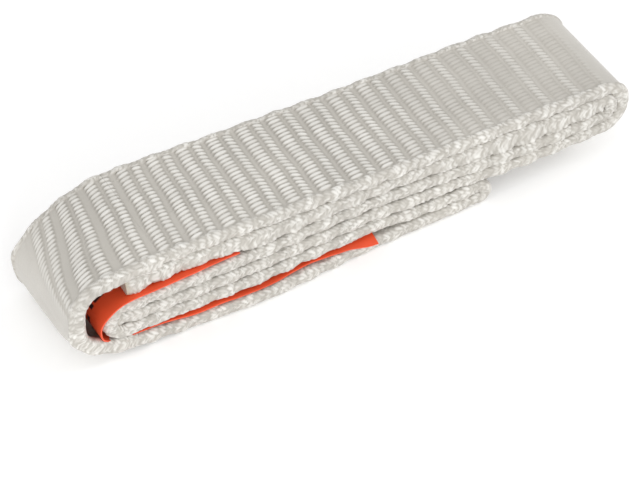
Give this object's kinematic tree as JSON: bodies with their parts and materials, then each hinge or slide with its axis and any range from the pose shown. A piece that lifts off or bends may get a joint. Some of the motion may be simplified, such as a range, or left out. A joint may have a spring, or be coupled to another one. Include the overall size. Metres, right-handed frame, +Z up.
{
  "type": "webbing sling",
  "caption": "Endless flat webbing lifting sling, pressed flat and folded once, with an orange label sewn inside the loop.",
  "frame": {"origin": "on the underside of the folded bundle, at its mid length and the webbing's mid width", "axes": "+X along the bundle from the open left fold to the closed right fold, +Y across the webbing away from the label's overhanging edge, +Z up"},
  "size_m": [0.255, 0.0525, 0.0466],
  "materials": {
    "webbing": "coarse woven polyester, undyed, slight sheen",
    "label": "smooth coated label cloth, orange red",
    "thread": "twisted polyester sewing thread"
  },
  "bodies": {
    "lower_fold": {"lower_outer_run": "webbing", "lower_inner_run": "webbing", "tail_bend": "webbing", "label_lower": "label"},
    "fold_link": {"outer_left_bend": "webbing", "inner_left_bend": "webbing", "label_turn": "label"},
    "upper_fold": {"upper_outer_run": "webbing", "inner_lap_upper_run": "webbing", "inner_lap_lower_run": "webbing", "outer_lap_lower_run": "webbing", "outer_right_bend": "webbing", "inner_right_bend": "webbing", "label_upper": "label", "seam_thread_upper": "thread", "seam_thread_lower": "thread", "label_tack": "thread"}
  },
  "joints": [
    {"name": "fold_opening_lower", "type": "hinge", "parent": "lower_fold", "child": "fold_link", "pos_m": [-0.1184, 0, 0.0091], "axis": [0, -1, 0], "range_deg": [0, 90], "deforming": ["outer_left_bend", "inner_left_bend", "label_turn"]},
    {"name": "fold_opening_upper", "type": "hinge", "parent": "fold_link", "child": "upper_fold", "pos_m": [-0.1163, 0, 0.0353], "axis": [0, -1, 0], "range_deg": [0, 90]}
  ],
  "couplings": [
    {"joint": "fold_opening_upper", "follows": "fold_opening_lower", "ratio": 1}
  ]
}
